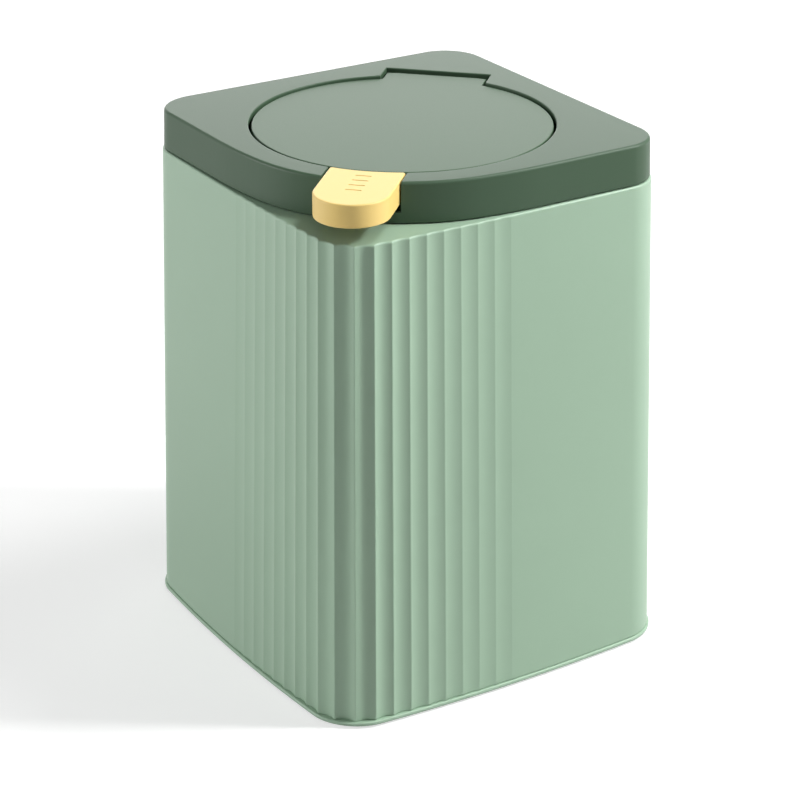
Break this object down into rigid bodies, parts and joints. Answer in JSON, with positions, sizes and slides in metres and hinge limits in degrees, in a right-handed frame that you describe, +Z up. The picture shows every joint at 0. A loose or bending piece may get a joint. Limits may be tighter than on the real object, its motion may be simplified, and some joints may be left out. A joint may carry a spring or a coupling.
{
  "type": "push top countertop bin",
  "caption": "Square countertop bin with a fluted corner, a lift-off lid, a sprung round flap and a push button that releases it.",
  "frame": {"origin": "middle of the bin's footprint, on the surface that it stands on", "axes": "+Z up; the fluted corner and the push button point to -X -Y; the walls run along X and Y"},
  "size_m": [0.1442, 0.1442, 0.1876],
  "materials": {
    "body_green": "light sage green moulded plastic, satin",
    "lid_green": "dark moss green moulded plastic, satin",
    "flap_green": "dark moss green moulded plastic, fine matt texture",
    "button_yellow": "pale yellow moulded plastic, satin",
    "inner_plastic": "dark green moulded plastic, plain inside parts",
    "pad_rubber": "dark soft rubber",
    "steel": "bright steel wire, pins and screws"
  },
  "bodies": {
    "bin": {"bin_body": "body_green", "base_plate": "body_green", "foot_pad_front": "pad_rubber", "foot_pad_right": "pad_rubber", "foot_pad_back": "pad_rubber", "foot_pad_left": "pad_rubber"},
    "lid": {"lid_cover": "lid_green", "lid_frame": "inner_plastic", "frame_screws": "steel", "hinge_pin": "steel", "hinge_spring_left": "steel", "hinge_spring_right": "steel", "lever_pin": "steel", "lever_spring": "steel"},
    "flap": {"flap_cover": "flap_green", "flap_liner": "inner_plastic", "flap_screws": "steel"},
    "button": {"push_button": "button_yellow", "latch_lever": "inner_plastic", "button_screws": "steel"}
  },
  "joints": [
    {"name": "lid_lift", "type": "slide", "parent": "bin", "child": "lid", "axis": [0, 0, 1], "range_m": [0, 0.06]},
    {"name": "flap_hinge", "type": "hinge", "parent": "lid", "child": "flap", "pos_m": [0.03781, 0.03781, 0.1832], "axis": [-0.7071, 0.7071, 0], "range_deg": [0, 85], "deforming": ["hinge_spring_left", "hinge_spring_right"]},
    {"name": "button_press", "type": "hinge", "parent": "lid", "child": "button", "pos_m": [-0.03792, -0.03792, 0.1745], "axis": [0.7071, -0.7071, 0], "range_deg": [0, 8], "stiffness_Nm_per_rad": 0.15, "springref_deg": -5.73, "deforming": ["lever_spring"]}
  ]
}
